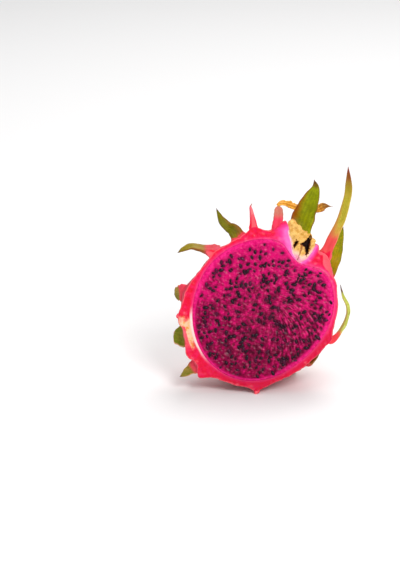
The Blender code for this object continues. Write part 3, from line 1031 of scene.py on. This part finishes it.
@dataclass
class FlowerScar:
    """The dry plug where the flower fell off: a ragged outline in the cut face, carried back and
    narrowing, with two hollows and a crack in its front."""

    outline: tuple = (
        (22.6, 28.8), (27.4, 31.5), (30.4, 35.4), (33.6, 41.4), (30.6, 46.0), (25.6, 49.2),
        (19.1, 56.6), (15.8, 55.1), (16.8, 47.3), (18.4, 41.4), (19.1, 35.4),
    )
    hollows: tuple = (
        ((21.3, 43.4), (22.7, 41.8), (20.0, 38.1), (19.1, 38.2), (19.4, 40.6)),
        ((30.0, 46.4), (31.0, 44.9), (29.9, 41.3), (29.5, 38.3), (28.9, 35.7), (27.5, 33.0),
         (26.9, 33.9), (26.7, 36.5), (26.0, 38.7), (23.6, 40.5), (24.3, 41.3), (26.9, 42.7)),
    )
    crack: tuple = ((24.6, 40.0), (24.2, 37.6), (23.2, 34.6), (21.8, 30.8))
    middle: tuple = (23.6, 41.5)
    depth: float = 9.0
    taper: float = 0.6
    around: int = 360
    front_rings: int = 150
    side_rings: int = 26
    hollow_depth: float = 5.5
    crack_depth: float = 0.5
    proud: float = 0.3

    def reach(self, angle: np.ndarray) -> np.ndarray:
        """Distance from the middle to the outline at an angle, along straight sides.

        Args:
            angle: Angles round the middle, in radians.

        Returns:
            One distance for each angle.
        """
        corners = np.array(self.outline) - self.middle
        way = circle(angle)
        found = np.zeros(len(angle))
        for start, stop in zip(corners, np.roll(corners, -1, axis=0)):
            side = stop - start
            bend = way[:, 0] * side[1] - way[:, 1] * side[0]
            away = (start[0] * side[1] - start[1] * side[0]) / bend
            share = (start[0] * way[:, 1] - start[1] * way[:, 0]) / bend
            found = np.where((away > 0) & (share >= 0) & (share < 1), away, found)
        return found

    def surface(self) -> tuple[np.ndarray, dict[str, np.ndarray]]:
        """Works out the plug's skin: rings from the middle of the front to the outline, with bumps,
        hollows and a crack, then down the narrowing sides to the back.

        Returns:
            The rings of points and the fields pit, low and crack.
        """
        angle = turns_round(self.around) + 0.001
        corner = self.reach(angle)
        corner = np.convolve(np.concatenate([corner[-3:], corner, corner[:3]]), np.ones(7) / 7, "valid")
        way = circle(angle)
        upper = smooth_step(way[:, 1] + 0.6 * way[:, 0], -0.1, 0.6)
        corner = corner + 0.1 + (0.1 + 0.25 * upper) * ripple(way * 10, 3.4, 31)
        share = np.concatenate([np.linspace(0.004, 1, self.front_rings),
                                np.linspace(1, self.taper, self.side_rings)])
        flat = np.array(self.middle) + share[:, None, None] * corner[None, :, None] * way
        z = np.concatenate([np.zeros(self.front_rings), np.linspace(-0.4, -self.depth, self.side_rings)])
        rings = np.concatenate([flat, np.broadcast_to(z[:, None, None], (*flat.shape[:2], 1))], axis=-1)
        front = (np.arange(len(share)) < self.front_rings)[:, None]

        ragged = 0.16 * ripple(rings[..., :2], 1.9, 71) + 0.07 * ripple(rings[..., :2], 0.8, 72)
        inside = np.min([outline_distance(rings, hollow) for hollow in self.hollows], axis=0) + ragged
        pit = smooth_step(inside, 0.25, -1.0) * front
        bend = smooth_line(np.array([(*point, 0.0) for point in self.crack]), 12)
        apart = np.linalg.norm(rings[:, :, None, :2] - bend[:, :2], axis=-1).min(axis=-1)
        crack = bell(apart, 0.55 + 0.09 * np.maximum(rings[..., 1] - 33, 0)) * front
        fray = smooth_step(rings[..., 1], 42, 52)
        relief = (0.35 * ripple(rings, 6, 32) * (0.6 + fray) + 0.16 * ripple(rings, 2.4, 33)
                  + 0.06 * ripple(rings, 1.0, 34))
        rounded = -1.0 * smooth_step(share, 0.84, 1.0)[:, None] * (0.25 + 0.75 * upper)
        rings[..., 2] += np.where(front, relief + rounded + self.proud - self.crack_depth * crack, 0)
        rings[..., 2] -= self.hollow_depth * pit
        sides = ~front[:, 0]
        push = 0.25 * ripple(rings[sides], 3, 35)
        rings[sides, :, :2] += push[..., None] * way
        low = smooth_step(rings[..., 1] - 0.35 * np.abs(rings[..., 0] - 24.5), 37.5, 29)
        low += 0.3 * smooth_step(rings[..., 0], 24, 22.4) * smooth_step(rings[..., 1], 42, 38.5)
        edge = smooth_step(share, 0.7, 1.0)[:, None] * (1 - upper) * smooth_step(rings[..., 1], 52, 44)
        return rings, {"pit": pit, "low": np.maximum(low, 0.75 * edge), "crack": crack}

    def build(self) -> bpy.types.Object:
        """Makes the plug and dresses it.

        Returns:
            The object.
        """
        rings, fields = self.surface()
        made = closed_skin("flower_scar_cork", rings, fields)
        made.data.materials.append(ScarFinish().dress())
        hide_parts("flower_scar")
        return made


# ---------------------------------------------------------------- rind and flesh


GAP = 0.1  # from the radius of the flesh to its dome, and to the rind's wall on the other side
FAR = 9.0  # in pad widths


def wavy_radius(mean: float, waves: tuple, angle: np.ndarray) -> np.ndarray:
    """A mean radius plus, for each wave of (crests, height, angle of a crest in degrees), a cosine."""
    return mean + sum(height * np.cos(count * (angle - math.radians(crest)))
                      for count, height, crest in waves)


def steps_back(count: int) -> np.ndarray:
    """Angles behind the cut face, evenly spaced and ending just short of the back.

    Args:
        count: How many angles.

    Returns:
        The angles, in radians.
    """
    back = np.linspace(0, math.pi / 2, count + 1)[1:]
    back[-1] -= 0.01
    return back


@dataclass
class Flesh:
    """The seeded flesh: a polar grid over the cut face, rolled over at its edge into a plain dome."""

    mean: float = 44.1
    waves: tuple = ((1, 0.5, 177), (2, 2.3, 45), (3, 0.95, 9))
    depth: float = 42.0
    notch_turn: float = 53.0
    notch_depth: float = 8.6
    notch_width: float = 17.0
    around: int = 470
    face_rings: int = 176
    dome_rings: int = 14
    core: tuple = (-3.0, 8.0)
    proud: float = 0.2  # how far the face swells past the knife's plane, and drops at its edge
    edge_drop: float = 0.4
    fibre_height: float = 0.045
    dimple_depth: float = 0.3

    def radius(self, turn: np.ndarray, back: np.ndarray) -> np.ndarray:
        """The wavy outline less the notch at the flower scar, rounded like an ellipse to the depth.

        Args:
            turn: Angles round the rim, in radians.
            back: Angles behind the cut face, in radians.

        Returns:
            Distances from the middle, in millimetres.
        """
        turn, back = np.broadcast_arrays(turn, back)
        outline = wavy_radius(self.mean, self.waves, turn)
        apart = degrees_from(turn, self.notch_turn)
        notch = self.notch_depth * np.exp(-(np.abs(apart) / self.notch_width) ** 2.4)
        outline = outline - notch * bell(back, 0.3)
        return 1 / np.hypot(np.cos(back) / outline, np.sin(back) / self.depth)

    def fibres(self, places: np.ndarray) -> np.ndarray:
        """Streaks that fan out from the core and bend down to the right: a random field over the
        angle round the core, which changes fast, and the distance from it, which changes slowly.

        Args:
            places: Places in the cut face.

        Returns:
            One value of about unit height for each place.
        """
        offset = places[..., :2] - self.core
        away = np.hypot(offset[..., 0], offset[..., 1])
        angle = np.arctan2(offset[..., 1], offset[..., 0]) + away * 0.012
        grid = np.stack([np.cos(angle) * 22, np.sin(angle) * 22, away / 5], -1)
        return ripple(grid, 1.3, 41, 26)

    def surface(self, seeds: "Seeds") -> tuple[np.ndarray, dict[str, np.ndarray]]:
        """Works out the flesh: flat, with fibres, grains, a dimple at each seed and a rounded edge.

        Args:
            seeds: The seeds that sit in it.

        Returns:
            The rings of points and the fields inset, shade, fibre, light and low, where light is painted
            light, brighter towards the top, the upper right and the left, and low is painted shade towards
            the bottom.
        """
        turn = turns_round(self.around)
        rim = self.radius(turn, 0.0)
        share = np.linspace(0.004, 1, self.face_rings)
        flat = share[:, None, None] * rim[None, :, None] * circle(turn)
        inset = (1 - share[:, None]) * rim
        places = np.concatenate([flat, np.zeros((*flat.shape[:2], 1))], -1)
        x, y = flat[..., 0], flat[..., 1]
        from_core = np.hypot(x - self.core[0], y - self.core[1])
        streaked = 0.22 + 0.78 * smooth_step(x - 0.15 * y, 0, 22)
        fibre = self.fibres(places) * smooth_step(from_core, 6, 20) * streaked
        dimple, shade = seeds.marks(places)
        inside = smooth_step(inset, 0.6, 3.5)
        relief = inside * (self.fibre_height * fibre + 0.12 * ripple(places, 2.6, 42)
                           + 0.05 * ripple(places, 1.2, 43) - self.dimple_depth * dimple)
        places[..., 2] = self.proud + relief - self.edge_drop * np.exp(-inset / 0.3)
        around, behind = np.meshgrid(turn, steps_back(self.dome_rings))
        dome = direction(around, behind) * (self.radius(around, behind) - GAP)[..., None]
        # light is painted light: the flesh is made brighter towards the top, the upper right and the left
        light = (0.75 * smooth_step(y, -14, 34) + 0.5 * smooth_step(x + 0.8 * y, 8, 40)
                 + 0.3 * smooth_step(x - 0.5 * y, 0, -36))
        ring_width = (1 - 0.4 * smooth_step(y - x, 30, 58) + 0.45 * smooth_step(x + y, -25, -50)
                      - 0.3 * smooth_step(x + 0.3 * y, 26, 42))
        face = {
            "inset": inset * ring_width,
            "shade": shade * smooth_step(inset, 1.2, 3.0),
            "fibre": 0.5 + 0.5 * fibre * inside,
            "light": light,
            # low is painted shade: darker towards the bottom of the flesh
            "low": smooth_step(y, -12, -44),
        }
        rest = np.zeros(dome.shape[:2])
        fields = {key: np.concatenate([value, rest]) for key, value in face.items()}
        return np.concatenate([places, dome]), fields

    def build(self, seeds: "Seeds") -> bpy.types.Object:
        """Makes the flesh and dresses it.

        Args:
            seeds: The seeds that sit in it.

        Returns:
            The object.
        """
        rings, fields = self.surface(seeds)
        made = closed_skin("flesh_face", rings[::-1], {key: value[::-1] for key, value in fields.items()})
        made.data.materials.append(FleshFinish().dress())
        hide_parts("flesh")
        return made


@dataclass
class Rind:
    """The peel: waxy outside with pads and creases, the flat cut rim, and a plain wall inside."""

    flesh: Flesh
    scar: FlowerScar
    scales: list[Scale] = field(default_factory=list)
    mean: float = 48.3
    waves: tuple = ((1, 1.5, 190), (2, 3.2, 43), (3, 0.65, -30))
    depth: float = BACK_RADIUS
    around: int = 540
    outer_rings: int = 132
    rim_rings: int = 26
    inner_rings: int = 12
    stem_turn: float = 196.5
    pad_height: float = 1.2
    pad_behind: float = 0.42  # reach of a pad towards the stem, towards the flower and sideways, in radians
    pad_ahead: float = 0.16
    pad_aside: float = 0.26
    crease_depth: float = 0.8
    rim_hollow: float = 0.35
    rim_edge: float = 0.25
    rim_degree: float = 0.85  # length of a degree of the rim, in millimetres
    edge_scale_back: float = 5.0  # scales with their root less far behind the cut face join the rim
    plug_drop: float = 7.5
    # The pale strip under the tall scale: its middle and its spread in degrees, and its depth.
    leaf_strip: tuple = (36.0, 7.5, 4.2)
    # Where the outline bulges or dips: angle in degrees, height in millimetres, spread in degrees.
    lobes: tuple = ((49.0, 3.2, 3.5), (75.4, 7.6, 4.4), (227.0, 5.6, 4.6), (212.0, 2.2, 6.0),
                    (197.0, -1.2, 8.0))

    def nearest(self, ways: np.ndarray) -> tuple[np.ndarray, np.ndarray, np.ndarray, np.ndarray]:
        """Measures directions from the middle against every scale's root.

        Args:
            ways: The directions, as unit vectors.

        Returns:
            The swelling at the root, the height of the fleshy pad that trails from it towards the
            stem, and the distances to the nearest and the next root in pad widths.
        """
        swell, pad = np.zeros(ways.shape[:-1]), np.zeros(ways.shape[:-1])
        first = np.full(ways.shape[:-1], FAR)
        second = first.copy()
        for scale in self.scales:
            out = scale.out()
            along = unit(FLOWER_END - out * (FLOWER_END @ out))
            across = np.cross(out, along)
            near = np.degrees(np.arccos(np.clip(ways @ out, -1, 1)))
            swell = np.maximum(swell, scale.swell * np.exp(1 - np.hypot(near / scale.spread, 1)))
            ahead, aside = ways @ along, ways @ across
            reach = np.where(ahead < 0, self.pad_behind, self.pad_ahead)
            hidden = np.where(ways @ out > 0, 0, FAR)
            apart = np.hypot(ahead / reach, aside / self.pad_aside) + hidden
            pad = np.maximum(pad, np.exp(-(apart**2)))
            second = np.where(apart < first, first, np.minimum(second, apart))
            first = np.minimum(first, apart)
        return swell, pad, first, second

    def radius(self, turn: np.ndarray, back: np.ndarray) -> np.ndarray:
        """The wavy outline rounded like an ellipse to the depth, plus the swelling under each scale.

        Args:
            turn: Angles round the rim, in radians.
            back: Angles behind the cut face, in radians.

        Returns:
            Distances from the middle, in millimetres.
        """
        turn, back = np.broadcast_arrays(turn, back)
        outline = wavy_radius(self.mean, self.waves, turn)
        smooth = 1 / np.hypot(np.cos(back) / outline, np.sin(back) / self.depth)
        ways = direction(turn, back)
        swell = self.nearest(ways)[0]
        for lobe, height, spread in self.lobes:
            near = np.degrees(np.arccos(np.clip(ways @ direction(math.radians(lobe), 0.0), -1, 1)))
            bulge = height * bell(near, spread)
            swell = np.maximum(swell, bulge) if height > 0 else swell + bulge
        return smooth + swell

    def joined(self, turn: np.ndarray) -> np.ndarray:
        """One where a scale at the very edge grows out of the rim, and zero elsewhere.

        Args:
            turn: Angles round the rim, in radians.

        Returns:
            One value for each angle.
        """
        joined = np.zeros(len(turn))
        for scale in self.scales:
            if scale.back < self.edge_scale_back:
                apart = np.abs(degrees_from(turn, scale.turn)) * self.rim_degree
                half = scale.width / 2
                joined = np.maximum(joined, smooth_step(apart, half + 0.6, half - 0.8))
        return joined

    def surface(self) -> tuple[np.ndarray, dict[str, np.ndarray]]:
        """Works out the peel as rings from the back pole round the outside, over the rim and down inside.

        The outside adds to the radius a pad under each scale, a crease halfway between neighbouring
        scales and three sizes of ripples. The rim lies in the cut face, slightly hollow, and drops
        away under the flower scar.

        Returns:
            The rings of points and the fields cut, from_skin, from_flesh, pale, stem, stripe, streak,
            low, crease and pad, where low is painted shade towards the bottom and the lower right.
        """
        turn = turns_round(self.around)
        back = np.linspace(math.pi / 2 - 0.008, 0, self.outer_rings)
        around, behind = np.meshgrid(turn, back)
        ways = direction(around, behind)
        _, pad, first, second = self.nearest(ways)
        crease = bell(second - first, 0.16) * smooth_step(first, 0.5, 1.1)
        radius = self.radius(around, behind)
        spots = ways * radius[..., None]
        radius += (self.pad_height * pad - self.crease_depth * crease) * smooth_step(behind, 0.02, 0.45)
        radius += 0.2 * ripple(spots, 13, 51) + 0.12 * ripple(spots, 5, 52) + 0.06 * ripple(spots, 2.2, 53)
        outside = ways * radius[..., None]

        inner = self.flesh.radius(turn, 0.0) + GAP
        share = np.linspace(0, 1, self.rim_rings + 1)[1:]
        between = radius[-1] + share[:, None] * (inner - radius[-1])
        rim = np.concatenate([direction(turn, 0.0)[None, :, :2] * between[..., None],
                              np.zeros((*between.shape, 1))], -1)
        rim[..., 2] = 0.05 - self.rim_hollow * np.sin(math.pi * share)[:, None] + 0.12 * ripple(rim, 4, 54)
        outside[-1, :, 2] = -self.rim_edge

        wall_turn, wall_back = np.meshgrid(turn, steps_back(self.inner_rings))
        wall = direction(wall_turn, wall_back) * (self.flesh.radius(wall_turn, wall_back) + GAP)[..., None]
        rings = np.concatenate([outside, rim, wall])

        off_plug = outline_distance(rings, self.scar.outline)
        near_face = smooth_step(rings[..., 2], -14, -5)
        rings[..., 2] -= self.plug_drop * smooth_step(off_plug, 0.1, -0.9) * near_face

        x, y = rings[..., 0], rings[..., 1]
        on_rim = slice(self.outer_rings, self.outer_rings + self.rim_rings)
        fields = {name: np.zeros(x.shape)
                  for name in ("cut", "from_skin", "from_flesh", "streak", "crease", "pad")}
        cut = fields["cut"]
        cut[on_rim] = 1
        cut[self.outer_rings - 1] = 0.5
        strip_turn, strip_spread, strip_depth = self.leaf_strip
        strip = bell(degrees_from(turn, strip_turn), strip_spread)
        fields["from_skin"][on_rim] = (radius[-1] - between + 3 * self.joined(turn) * (1 - strip)
                                       - strip_depth * strip)
        upper_right = smooth_step(x[on_rim], 16, 34) * smooth_step(y[on_rim], -34, 2)
        fields["from_flesh"][on_rim] = (between - inner) * (1 - 0.55 * upper_right)
        fields["streak"][on_rim] = smooth_step(between - inner, 4.0, 5.4) * smooth_step(y[on_rim], -9, -13)
        fields["crease"][:self.outer_rings], fields["pad"][:self.outer_rings] = crease, pad
        fade = 2.3 + 3.2 * smooth_step(x, 22, 14)
        fields["pale"] = np.exp(-np.maximum(off_plug, 0) / fade) * cut * (1 - 0.7 * smooth_step(y, 48, 54))
        angle = np.degrees(turn)
        fields["stem"] = np.exp(-np.abs((angle - self.stem_turn) / 11) ** 3) * cut
        fields["stripe"] = smooth_step(angle, 176, 188) * smooth_step(angle, 228, 206) * cut
        # low is painted shade: darker towards the bottom and the lower right of the rim
        fields["low"] = np.maximum(
            smooth_step(y, -22, -44) * (0.35 + 0.65 * smooth_step(x, -40, -14)),
            smooth_step(y, 0, -26) * smooth_step(x, 14, 34) * 0.8,
        )
        return rings, fields

    def build(self) -> bpy.types.Object:
        """Makes the peel and dresses it.

        Returns:
            The object.
        """
        rings, fields = self.surface()
        made = closed_skin("rind_skin", rings, fields)
        made.data.materials.append(RindFinish().dress())
        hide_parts("rind")
        return made


@dataclass
class Seeds:
    """The black seeds in the cut face: flattened teardrops, half sunk, lying along the fibres."""

    flesh: Flesh
    draw: int = 2  # which random draw it is
    tries: int = 900
    closest: float = 1.8
    clear_edge: float = 1.9
    clear_more: float = 2.2  # how much wider the ring without seeds is where it is widest
    widest_turn: float = math.radians(135)
    bare_patch: tuple = ((22, 12), (-9, 8))  # its middle and half width, to the right and up
    length: float = 2.9
    width: float = 2.1
    height: float = 1.35
    taper: float = 0.42
    smallest: float = 0.76
    size_range: float = 0.6
    scatter: float = 0.9  # how far seeds turn from the fibres, in radians
    proud: float = 0.32  # height of the middle of a seed that lies on top, and how far the others sink
    sink: float = 0.42
    most_buried: int = 170
    rings: int = 6
    around: int = 8
    places: np.ndarray = field(init=False)
    size: np.ndarray = field(init=False)
    turn: np.ndarray = field(init=False)
    sunk: np.ndarray = field(init=False)
    buried: np.ndarray = field(init=False)

    def __post_init__(self) -> None:
        """Scatters the seeds: random places are kept where they are clear of the edge and of the
        places kept before them, and thinned out where the fibres show bare."""
        rng = np.random.default_rng(self.draw)
        angle = rng.uniform(0, math.tau, self.tries)
        away = np.sqrt(rng.uniform(0, 1, self.tries))
        rim = self.flesh.radius(angle, np.zeros(self.tries))
        clear = self.clear_edge + self.clear_more * np.maximum(np.cos(angle - self.widest_turn), 0)
        spots = (away * (rim - clear))[:, None] * circle(angle)
        bare = math.prod(bell(spots[:, axis] - middle, half)
                         for axis, (middle, half) in enumerate(self.bare_patch))
        clump = 0.6 + 0.6 * ripple(spots, 10, 5)
        likely = rng.uniform(0, 1, self.tries) < np.clip(clump, 0.12, 1) * (1 - 0.55 * bare)
        spots = spots[likely]
        apart = np.linalg.norm(spots[:, None] - spots[None], axis=-1)
        kept: list[int] = []
        for index in range(len(spots)):
            if not kept or apart[index, kept].min() > self.closest * rng.uniform(0.75, 1.5):
                kept.append(index)
        self.places = spots[kept]
        count = len(kept)
        self.size = self.smallest + self.size_range * rng.uniform(0, 1, count) ** 1.6
        fan = np.arctan2(self.places[:, 1], self.places[:, 0])
        self.turn = fan + rng.normal(0, self.scatter, count) + math.pi * (rng.uniform(0, 1, count) < 0.5)
        self.sunk = rng.uniform(0.0, 1.0, count) ** 1.4
        self.buried = spots[np.setdiff1d(np.arange(len(spots)), kept)][:self.most_buried]

    def marks(self, places: np.ndarray) -> tuple[np.ndarray, np.ndarray]:
        """What the seeds do to the flesh round them.

        Args:
            places: Rings of places in the cut face.

        Returns:
            A dimple of 0 to 1 round each seed, and the shade of seeds in and just under the surface.
        """
        dimple, shade = np.zeros(places.shape[:-1]), np.zeros(places.shape[:-1])
        for row, spots in enumerate(places[..., :2]):
            apart = ((spots[:, None] - self.places[None]) ** 2).sum(-1)
            under = ((spots[:, None] - self.buried[None]) ** 2).sum(-1).min(axis=1)
            near = (apart / (self.size * 1.35) ** 2).min(axis=1)
            dimple[row] = np.exp(-near)
            shade[row] = np.maximum(0.75 * np.exp(-near * 0.55), 0.6 * np.exp(-under / 0.8))
        return dimple, shade

    def build(self) -> bpy.types.Object:
        """Makes all the seeds as one mesh.

        A seed is rings along its length: the ring at an angle u from the blunt end has its middle at
        -cos(u) of the half length and a radius of sin(u) * (1 - taper * (1 - cos(u)) / 2), flattened.

        Returns:
            The object.
        """
        u = np.linspace(0.22, math.pi - 0.16, self.rings)
        v = turns_round(self.around)
        girth = np.sin(u) * (1 - self.taper * (1 - np.cos(u)) / 2)
        one = np.stack([
            np.broadcast_to((-np.cos(u) * self.length / 2)[:, None], (self.rings, self.around)),
            girth[:, None] * np.cos(v) * self.width / 2,
            girth[:, None] * np.sin(v) * self.height / 2,
        ], axis=-1).reshape(-1, 3)
        ends = np.array([[-self.length / 2, 0, 0], [self.length / 2, 0, 0]])
        one = np.concatenate([one, ends])
        count = len(self.places)
        scaled = one[None] * self.size[:, None, None]
        c, s = np.cos(self.turn)[:, None], np.sin(self.turn)[:, None]
        x = self.places[:, :1] + scaled[..., 0] * c - scaled[..., 1] * s
        y = self.places[:, 1:] + scaled[..., 0] * s + scaled[..., 1] * c
        z = scaled[..., 2] + (self.proud - self.sink * self.sunk)[:, None]
        points = np.stack([x, y, z], -1).reshape(-1, 3)
        quads, triangles = ring_faces(self.rings, self.around)
        step = (np.arange(count) * len(one))[:, None, None]
        fields = {"sunk": np.repeat(self.sunk, len(one))}
        made = write_mesh("seeds", FRUIT.place(points), (quads[None] + step).reshape(-1, 4),
                          (triangles[None] + step).reshape(-1, 3), fields)
        made.data.materials.append(SeedFinish().dress())
        return made


@dataclass
class DriedPetal:
    """A withered petal: a thin ribbon along a smooth line, twisted and crinkled."""

    line: tuple = (
        (9.6, 64.4, -3), (11, 65.8, -3.5), (14.2, 66.0, -6), (18.4, 64.8, -11), (25.5, 62.8, -16.5),
        (34.5, 62.0, -17), (39.3, 64.2, -16), (44.6, 63.9, -15),
    )
    width: float = 4.9
    thickness: float = 0.7
    pinch: float = 0.22  # share by which the width swells and pinches
    crinkle: float = 0.5
    stations: int = 110
    around: int = 24

    def surface(self) -> tuple[np.ndarray, dict[str, np.ndarray]]:
        """Works out the ribbon: an ellipse carried along the line, whose broad side turns slowly, with
        a width that swells and pinches and edges that crinkle.

        Returns:
            The rings of points and the fields along and across.
        """
        line = smooth_line(np.array(self.line, float), self.stations)
        t = np.linspace(0, 1, self.stations)
        ahead = unit(np.gradient(line, axis=0))
        across = unit(np.cross(ahead, np.array([0.0, 0.15, 1.0])))
        up = np.cross(across, ahead)
        roll = (0.5 * np.sin(t * 7) + 0.35 * np.sin(t * 17 + 1))[:, None]
        across, up = across * np.cos(roll) + up * np.sin(roll), up * np.cos(roll) - across * np.sin(roll)
        width = self.width * (0.45 + 0.55 * smooth_step(t, 0, 0.16)) * (1 - 0.95 * smooth_step(t, 0.8, 1))
        width = width * (1 + self.pinch * np.sin(t * 23 + 0.5))
        side, high = circle(turns_round(self.around)).T
        crinkle = self.crinkle * np.abs(side) * np.sin(t * 70 + 2 * np.sin(t * 31))[:, None]
        crinkle = crinkle + 0.35 * np.cos(side * 5)
        lift = high * self.thickness / 2 + crinkle * (width / self.width)[:, None] * 0.8
        rings = carried(line, across, up, side * width[:, None] / 2, lift)
        shape = rings.shape[:2]
        return rings, {"along": np.broadcast_to(t[:, None], shape), "across": np.broadcast_to(side, shape)}

    def build(self) -> bpy.types.Object:
        """Makes the ribbon and dresses it.

        Returns:
            The object.
        """
        rings, fields = self.surface()
        made = closed_skin("withered_petal", rings, fields)
        made.data.materials.append(PetalFinish().dress())
        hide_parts("dried_petal")
        return made


# ---------------------------------------------------------------- studio


@dataclass
class Studio:
    """A white floor, soft light all round, and a long-lensed camera a little above the fruit."""

    distance: float = 1.5
    elevation: float = math.radians(18)
    aim_left: float = 39.06  # where the camera looks, in millimetres from the middle of the cut face
    aim_up: float = 15.0
    tall: float = 356.25  # millimetres from the top to the bottom of the view, at that distance
    sensor: float = 36.0
    front_glow: float = 0.25  # how strongly the background lights from the front and from the back
    back_glow: float = 0.65
    # Name, place from the middle of the cut face and size in metres, and power in watts.
    lamps: tuple = (("key_light", (0.5, -1.05, 0.95), 0.6, 15),
                    ("back_light", (0.3, 0.8, 1.3), 0.9, 15),
                    ("left_light", (-1.2, -0.6, 0.7), 0.7, 3))
    floor_half: float = 6.0
    floor_white: tuple = (0.82, 0.815, 0.815, 1.0)

    def add_camera(self) -> None:
        """Looks along +Y and down, a little to the left of the fruit and above its middle."""
        ahead = np.array([0, math.cos(self.elevation), -math.sin(self.elevation)])
        upward = np.array([0, math.sin(self.elevation), math.cos(self.elevation)])
        target = FRUIT.centre - np.array([self.aim_left * MM, 0, 0]) + upward * self.aim_up * MM
        data = bpy.data.cameras.new("camera")
        data.sensor_width = self.sensor
        data.lens = self.distance * self.sensor / (self.tall * MM)
        data.clip_start, data.clip_end = 0.05, 20
        camera = bpy.data.objects.new("camera", data)
        camera.location = Vector(target - ahead * self.distance)
        camera.rotation_euler = (math.pi / 2 - self.elevation, 0, 0)
        bpy.context.scene.collection.objects.link(camera)
        bpy.context.scene.camera = camera

    def add_floor(self) -> None:
        """A wide matt white sheet."""
        half = self.floor_half
        corners = [(-half, -half, 0), (half, -half, 0), (half, half, 0), (-half, half, 0)]
        mesh = bpy.data.meshes.new("floor")
        mesh.from_pydata(corners, [], [(0, 1, 2, 3)])
        floor = bpy.data.objects.new("floor", mesh)
        graph = Graph("white_sheet")
        mesh.materials.append(graph.finish(Base_Color=self.floor_white, Roughness=0.8,
                                           Specular_IOR_Level=0.1))
        bpy.context.scene.collection.objects.link(floor)

    @staticmethod
    def add_light(name: str, place: tuple, size: float, power: float) -> None:
        """Hangs a square lamp that looks at the fruit.

        Args:
            name: The lamp's name.
            place: Where it hangs, from the middle of the cut face in metres.
            size: Length of its sides, in metres.
            power: Its power, in watts.
        """
        data = bpy.data.lights.new(name, "AREA")
        data.energy, data.size = power, size
        lamp = bpy.data.objects.new(name, data)
        lamp.location = Vector(FRUIT.centre) + Vector(place)
        lamp.rotation_euler = Vector(place).to_track_quat("Z", "Y").to_euler()
        bpy.context.scene.collection.objects.link(lamp)

    def light_world(self, tree: bpy.types.NodeTree) -> None:
        """A white background, which lights the fruit less from behind the camera than from the back.

        Args:
            tree: The background's nodes.
        """
        nodes = Nodes(tree)
        way = nodes.node("ShaderNodeTexCoord").outputs["Generated"]
        back = nodes.node("ShaderNodeSeparateXYZ", None, {"Vector": way}).outputs["Y"]
        share = nodes.node("ShaderNodeMapRange", None, {
            "Value": back, "From Min": -0.7, "From Max": 0.5, "To Min": self.front_glow,
            "To Max": self.back_glow,
        }).outputs["Result"]
        seen = nodes.node("ShaderNodeLightPath").outputs["Is Camera Ray"]
        strength = nodes.node("ShaderNodeMix", None, {"Factor": seen, "A": share, "B": 1.0}).outputs["Result"]
        background = tree.nodes["Background"]
        nodes.feed(background.inputs["Color"], (1, 1, 1, 1))
        nodes.feed(background.inputs["Strength"], strength)

    def build(self) -> None:
        """Sets up the whole studio."""
        scene = bpy.context.scene
        scene.view_settings.view_transform = "Standard"
        world = scene.world or bpy.data.worlds.new("world")
        scene.world = world
        world.use_nodes = True
        self.light_world(world.node_tree)
        for name, place, size, power in self.lamps:
            self.add_light(name, place, size, power)
        self.add_floor()
        self.add_camera()


def main() -> None:
    """Builds the fruit from the inside out, then the studio."""
    flesh = Flesh()
    seeds = Seeds(flesh)
    scar = FlowerScar()
    scales = edge_scales() + hidden_scales()
    rind = Rind(flesh, scar, scales)
    flesh.build(seeds)
    seeds.build()
    rind.build()
    scar.build()
    DriedPetal().build()
    materials = {leaf: leaf.value.dress(f"scale_{leaf.name.lower()}") for leaf in Leaf}
    for scale in scales:
        scale.build(rind, materials)
    LOG.info("%d seeds, %d scales", len(seeds.places), len(scales))
    Studio().build()


if __name__ == "__main__":
    main()
